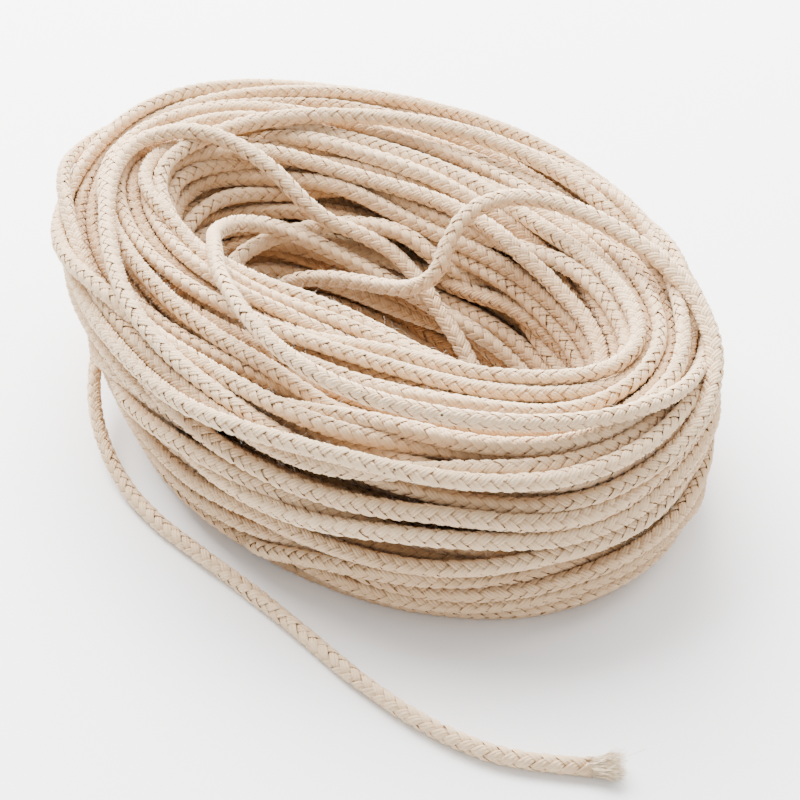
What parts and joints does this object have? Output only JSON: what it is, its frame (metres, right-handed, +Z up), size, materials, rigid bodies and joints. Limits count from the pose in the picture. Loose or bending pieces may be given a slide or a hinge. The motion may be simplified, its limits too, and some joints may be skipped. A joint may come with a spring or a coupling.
{
  "type": "coiled cord",
  "caption": "Hand-wound oval coil of thin plaited natural cotton cord lying flat, one frayed end loose in front.",
  "frame": {"origin": "middle of the bounding box, at the level of the table", "axes": "+Z up from the table; -Y towards the side where the loose end lies; the oval's long axis runs 43 degrees clockwise of +X"},
  "size_m": [0.202, 0.2467, 0.066],
  "materials": {
    "cotton_cord": "undyed plaited cotton, matt and slightly hairy",
    "frayed_cotton": "loose undyed cotton yarns, matt and hairy"
  },
  "bodies": {
    "root": {"coil": "cotton_cord", "tail": "cotton_cord", "frayed_end": "frayed_cotton"}
  },
  "joints": []
}
